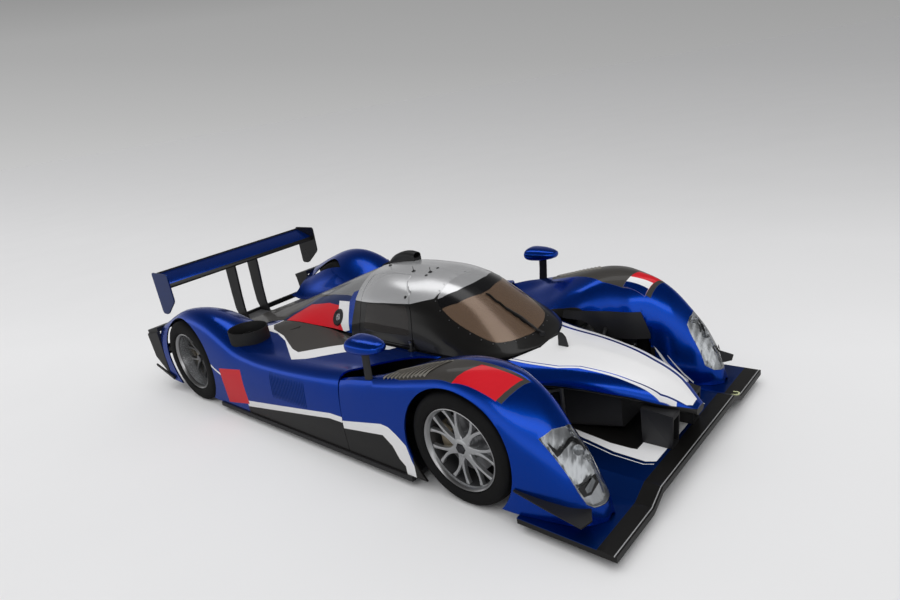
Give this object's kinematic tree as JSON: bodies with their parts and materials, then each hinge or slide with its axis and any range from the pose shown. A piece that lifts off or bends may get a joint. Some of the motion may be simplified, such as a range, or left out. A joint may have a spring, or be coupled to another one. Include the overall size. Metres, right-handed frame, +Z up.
{
  "type": "sports prototype race car",
  "caption": "Closed-cockpit sports prototype race car with pontoon fenders, front splitter, rear wing, hinged doors and steered front wheels",
  "frame": {"origin": "on the ground under the middle of the car's length and width", "axes": "+X to the nose, +Y to the car's left, +Z up"},
  "size_m": [4.58, 2, 1.074],
  "materials": {
    "paint_blue": "glossy metallic blue paint over moulded panels",
    "carbon": "bare woven carbon composite, satin",
    "silver": "silver grey metallic paint",
    "white": "white gloss paint",
    "glass": "bronze tinted polycarbonate",
    "rubber": "slick racing tyre rubber",
    "alloy": "grey metallic forged light alloy",
    "lamp": "clear headlamp cover",
    "fabric": "woven seat cover",
    "metal": "machined steel and cast alloy"
  },
  "bodies": {
    "chassis": {"brake_duct_left": "carbon", "brake_duct_right": "carbon", "cabin_shell": "silver", "diffuser": "carbon", "engine": "metal", "engine_cover": "carbon", "exhaust_left": "carbon", "exhaust_right": "carbon", "floor": "carbon", "front_arms_left": "metal", "front_arms_right": "metal", "front_fender_left": "paint_blue", "front_fender_right": "paint_blue", "front_splitter": "paint_blue", "gearbox": "metal", "headlamp_left": "lamp", "headlamp_right": "lamp", "mirror_left": "paint_blue", "mirror_right": "paint_blue", "monocoque": "carbon", "nose_cone": "white", "rear_upright_left": "metal", "rear_upright_right": "metal", "roof_snorkel": "carbon", "seat": "fabric", "side_panel_left": "paint_blue", "side_panel_right": "paint_blue", "steering_wheel": "carbon", "tail_panel": "carbon", "windscreen": "glass", "wing_endplate_left": "carbon", "wing_endplate_right": "carbon", "wing_plane": "paint_blue", "wing_pylon_left": "carbon", "wing_pylon_right": "carbon"},
    "steer_left": {"knuckle_left": "metal"},
    "steer_right": {"knuckle_right": "metal"},
    "door_left_body": {"door_left": "carbon", "door_glass_left": "glass"},
    "wheel_front_left": {"rim_front_left": "alloy", "tyre_front_left": "rubber"},
    "wheel_rear_left": {"rim_rear_left": "alloy", "tyre_rear_left": "rubber"},
    "door_right_body": {"door_right": "carbon", "door_glass_right": "glass"},
    "wheel_front_right": {"rim_front_right": "alloy", "tyre_front_right": "rubber"},
    "wheel_rear_right": {"rim_rear_right": "alloy", "tyre_rear_right": "rubber"}
  },
  "joints": [
    {"name": "steer_left_joint", "type": "hinge", "parent": "chassis", "child": "steer_left", "pos_m": [1.37, 0.775, 0.34], "axis": [0, 0, 1], "range_deg": [-8, 8]},
    {"name": "steer_right_joint", "type": "hinge", "parent": "chassis", "child": "steer_right", "pos_m": [1.37, -0.775, 0.34], "axis": [0, 0, 1], "range_deg": [-8, 8]},
    {"name": "spin_front_left", "type": "hinge", "parent": "steer_left", "child": "wheel_front_left", "pos_m": [1.37, 0.8, 0.34], "axis": [0, 1, 0], "continuous": true},
    {"name": "spin_rear_left", "type": "hinge", "parent": "chassis", "child": "wheel_rear_left", "pos_m": [-1.58, 0.8015, 0.355], "axis": [0, 1, 0], "continuous": true},
    {"name": "open_door_left", "type": "hinge", "parent": "chassis", "child": "door_left_body", "pos_m": [0.598, 0.458, 0.622], "axis": [0.3567, 0.4875, -0.7969], "range_deg": [0, 60]},
    {"name": "spin_front_right", "type": "hinge", "parent": "steer_right", "child": "wheel_front_right", "pos_m": [1.37, -0.8, 0.34], "axis": [0, 1, 0], "continuous": true},
    {"name": "spin_rear_right", "type": "hinge", "parent": "chassis", "child": "wheel_rear_right", "pos_m": [-1.58, -0.8015, 0.355], "axis": [0, 1, 0], "continuous": true},
    {"name": "open_door_right", "type": "hinge", "parent": "chassis", "child": "door_right_body", "pos_m": [0.598, -0.458, 0.622], "axis": [-0.3567, 0.4875, 0.7969], "range_deg": [0, 60]}
  ],
  "couplings": [
    {"joint": "steer_right_joint", "follows": "steer_left_joint", "ratio": 1}
  ]
}
